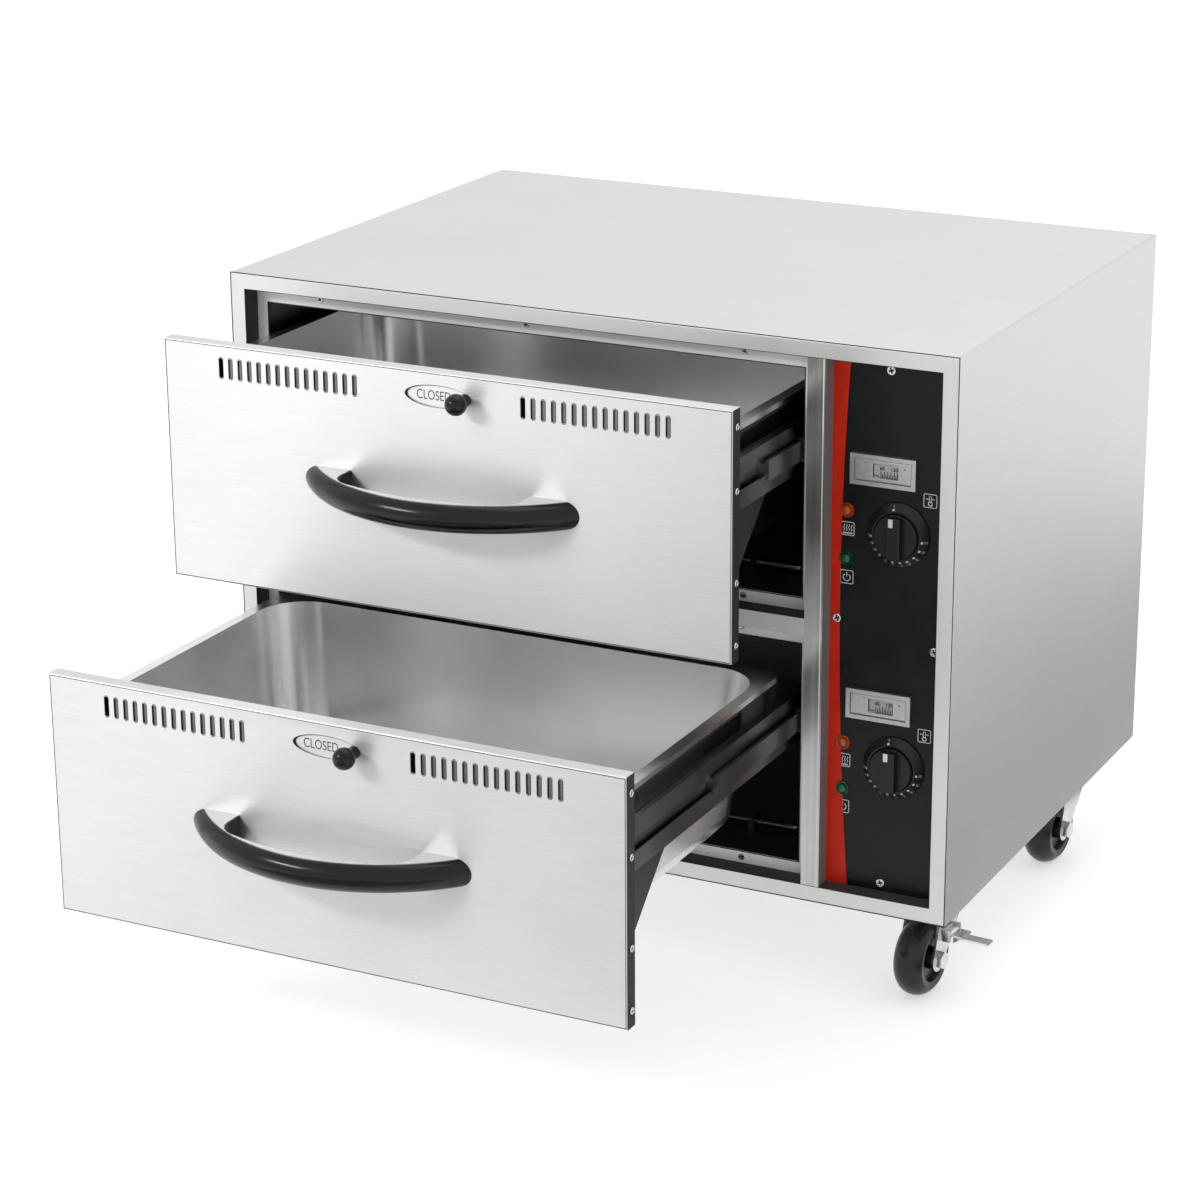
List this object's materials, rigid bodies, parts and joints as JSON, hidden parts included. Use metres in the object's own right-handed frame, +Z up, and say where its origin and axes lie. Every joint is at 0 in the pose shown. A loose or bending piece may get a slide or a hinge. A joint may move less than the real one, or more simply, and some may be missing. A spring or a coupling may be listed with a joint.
{
  "type": "two-drawer warming cabinet",
  "caption": "Stainless food-warming cabinet on swivel casters: deep drawers with lift-height pans, vent shutters, arched grips and a dark control panel with dials, lamps and thermometers.",
  "frame": {"origin": "on the floor, in the middle of the area that the cabinet and its drawn-out drawers cover", "axes": "+X to the control panel's side, -Y out of the drawers' fronts, +Z up"},
  "size_m": [0.7956, 0.981, 0.64],
  "materials": {
    "cabinet_stainless": "satin, fine grain",
    "front_stainless": "satin, long grain across",
    "inner_stainless": "satin",
    "pan_stainless": "drawn, satin",
    "galvanised_sheet": "galvanised",
    "slide_zinc": "zinc plated",
    "grip_black": "glossy",
    "inlay_steel": "polished",
    "fascia_black": "satin",
    "stripe_red": "gloss print",
    "bezel_silver": "metallised",
    "scale_pale": "printed scale under a clear window",
    "lens_amber": "clear coloured",
    "lens_green": "clear coloured",
    "knob_black": "fine satin",
    "screw_steel": "bright",
    "caster_zinc": "bright plating",
    "wheel_black": "glossy moulded",
    "mineral_wool": "fibrous",
    "heater_sheath": "heat-darkened",
    "bulb_copper": "drawn",
    "moulding_dark": "moulded"
  },
  "bodies": {
    "cabinet": {"outer_wrapper": "cabinet_stainless", "base_pan": "galvanised_sheet", "back_panel": "galvanised_sheet", "mullion": "cabinet_stainless", "mid_rail": "cabinet_stainless", "upper_liner": "inner_stainless", "lower_liner": "inner_stainless", "lip_frames": "cabinet_stainless", "insulation": "mineral_wool", "upper_heater": "heater_sheath", "lower_heater": "heater_sheath", "thermostat_bulbs": "bulb_copper", "control_fascia": "fascia_black", "fascia_stripe": "stripe_red", "thermometers": "bezel_silver", "thermometer_dials": "scale_pale", "amber_lamps": "lens_amber", "green_lamps": "lens_green", "dial_rings": "knob_black", "thermostats": "moulding_dark", "fascia_screws": "screw_steel", "case_screws": "screw_steel", "power_entry": "moulding_dark", "fixed_rails": "slide_zinc", "caster_plates": "caster_zinc"},
    "upper_drawer": {"upper_front": "front_stainless", "upper_front_liner": "inner_stainless", "upper_frame": "inner_stainless", "upper_drawer_rails": "slide_zinc", "upper_pan": "pan_stainless", "upper_handle": "grip_black", "upper_handle_inlay": "inlay_steel", "upper_drawer_screws": "screw_steel"},
    "upper_middle_rails": {"upper_middle_rails": "slide_zinc"},
    "upper_damper": {"upper_damper_plate": "inner_stainless", "upper_damper_ball": "grip_black"},
    "upper_knob": {"upper_knob": "knob_black"},
    "lower_drawer": {"lower_front": "front_stainless", "lower_front_liner": "inner_stainless", "lower_frame": "inner_stainless", "lower_drawer_rails": "slide_zinc", "lower_pan": "pan_stainless", "lower_handle": "grip_black", "lower_handle_inlay": "inlay_steel", "lower_drawer_screws": "screw_steel"},
    "lower_middle_rails": {"lower_middle_rails": "slide_zinc"},
    "lower_damper": {"lower_damper_plate": "inner_stainless", "lower_damper_ball": "grip_black"},
    "lower_knob": {"lower_knob": "knob_black"},
    "front_left_caster": {"front_left_fork": "caster_zinc"},
    "front_left_wheel": {"front_left_wheel": "wheel_black"},
    "front_left_brake": {"front_left_brake_pedal": "caster_zinc"},
    "front_right_caster": {"front_right_fork": "caster_zinc"},
    "front_right_wheel": {"front_right_wheel": "wheel_black"},
    "front_right_brake": {"front_right_brake_pedal": "caster_zinc"},
    "rear_left_caster": {"rear_left_fork": "caster_zinc"},
    "rear_left_wheel": {"rear_left_wheel": "wheel_black"},
    "rear_right_caster": {"rear_right_fork": "caster_zinc"},
    "rear_right_wheel": {"rear_right_wheel": "wheel_black"}
  },
  "joints": [
    {"name": "upper_drawer_slide", "type": "slide", "parent": "cabinet", "child": "upper_drawer", "axis": [0, -1, 0], "range_m": [-0.1535, 0.2265]},
    {"name": "upper_middle_rails_slide", "type": "slide", "parent": "cabinet", "child": "upper_middle_rails", "axis": [0, -1, 0], "range_m": [-0.07675, 0.11325]},
    {"name": "upper_damper_slide", "type": "slide", "parent": "upper_drawer", "child": "upper_damper", "axis": [1, 0, 0], "range_m": [-0.05582, 0]},
    {"name": "upper_knob_turn", "type": "hinge", "parent": "cabinet", "child": "upper_knob", "pos_m": [0.31435, -0.0535, 0.465], "axis": [0, 1, 0], "range_deg": [0, 270]},
    {"name": "lower_drawer_slide", "type": "slide", "parent": "cabinet", "child": "lower_drawer", "axis": [0, -1, 0], "range_m": [-0.3591, 0.0209]},
    {"name": "lower_middle_rails_slide", "type": "slide", "parent": "cabinet", "child": "lower_middle_rails", "axis": [0, -1, 0], "range_m": [-0.17955, 0.01045]},
    {"name": "lower_damper_slide", "type": "slide", "parent": "lower_drawer", "child": "lower_damper", "axis": [1, 0, 0], "range_m": [-0.05582, 0]},
    {"name": "lower_knob_turn", "type": "hinge", "parent": "cabinet", "child": "lower_knob", "pos_m": [0.31435, -0.0535, 0.241], "axis": [0, 1, 0], "range_deg": [0, 270]},
    {"name": "front_left_swivel", "type": "hinge", "parent": "cabinet", "child": "front_left_caster", "pos_m": [-0.332, 0.0235, 0.1], "axis": [0, 0, 1], "continuous": true},
    {"name": "front_left_wheel_spin", "type": "hinge", "parent": "front_left_caster", "child": "front_left_wheel", "pos_m": [-0.32956, 0.05842, 0.038], "axis": [-0.9976, 0.0698, 0], "continuous": true},
    {"name": "front_left_brake_tilt", "type": "hinge", "parent": "front_left_caster", "child": "front_left_brake", "pos_m": [-0.35521, 0.0572, 0.063], "axis": [-0.0698, -0.9976, 0], "range_deg": [0, 14]},
    {"name": "front_right_swivel", "type": "hinge", "parent": "cabinet", "child": "front_right_caster", "pos_m": [0.332, 0.0235, 0.1], "axis": [0, 0, 1], "continuous": true},
    {"name": "front_right_wheel_spin", "type": "hinge", "parent": "front_right_caster", "child": "front_right_wheel", "pos_m": [0.32956, -0.01141, 0.038], "axis": [0.9976, -0.0698, 0], "continuous": true},
    {"name": "front_right_brake_tilt", "type": "hinge", "parent": "front_right_caster", "child": "front_right_brake", "pos_m": [0.35521, -0.0102, 0.063], "axis": [0.0698, 0.9976, 0], "range_deg": [0, 14]},
    {"name": "rear_left_swivel", "type": "hinge", "parent": "cabinet", "child": "rear_left_caster", "pos_m": [-0.332, 0.3775, 0.1], "axis": [0, 0, 1], "continuous": true},
    {"name": "rear_left_wheel_spin", "type": "hinge", "parent": "rear_left_caster", "child": "rear_left_wheel", "pos_m": [-0.32956, 0.41241, 0.038], "axis": [-0.9976, 0.0698, 0], "continuous": true},
    {"name": "rear_right_swivel", "type": "hinge", "parent": "cabinet", "child": "rear_right_caster", "pos_m": [0.332, 0.3775, 0.1], "axis": [0, 0, 1], "continuous": true},
    {"name": "rear_right_wheel_spin", "type": "hinge", "parent": "rear_right_caster", "child": "rear_right_wheel", "pos_m": [0.32956, 0.34258, 0.038], "axis": [0.9976, -0.0698, 0], "continuous": true}
  ],
  "couplings": [
    {"joint": "upper_middle_rails_slide", "follows": "upper_drawer_slide", "ratio": 0.5},
    {"joint": "lower_middle_rails_slide", "follows": "lower_drawer_slide", "ratio": 0.5}
  ]
}
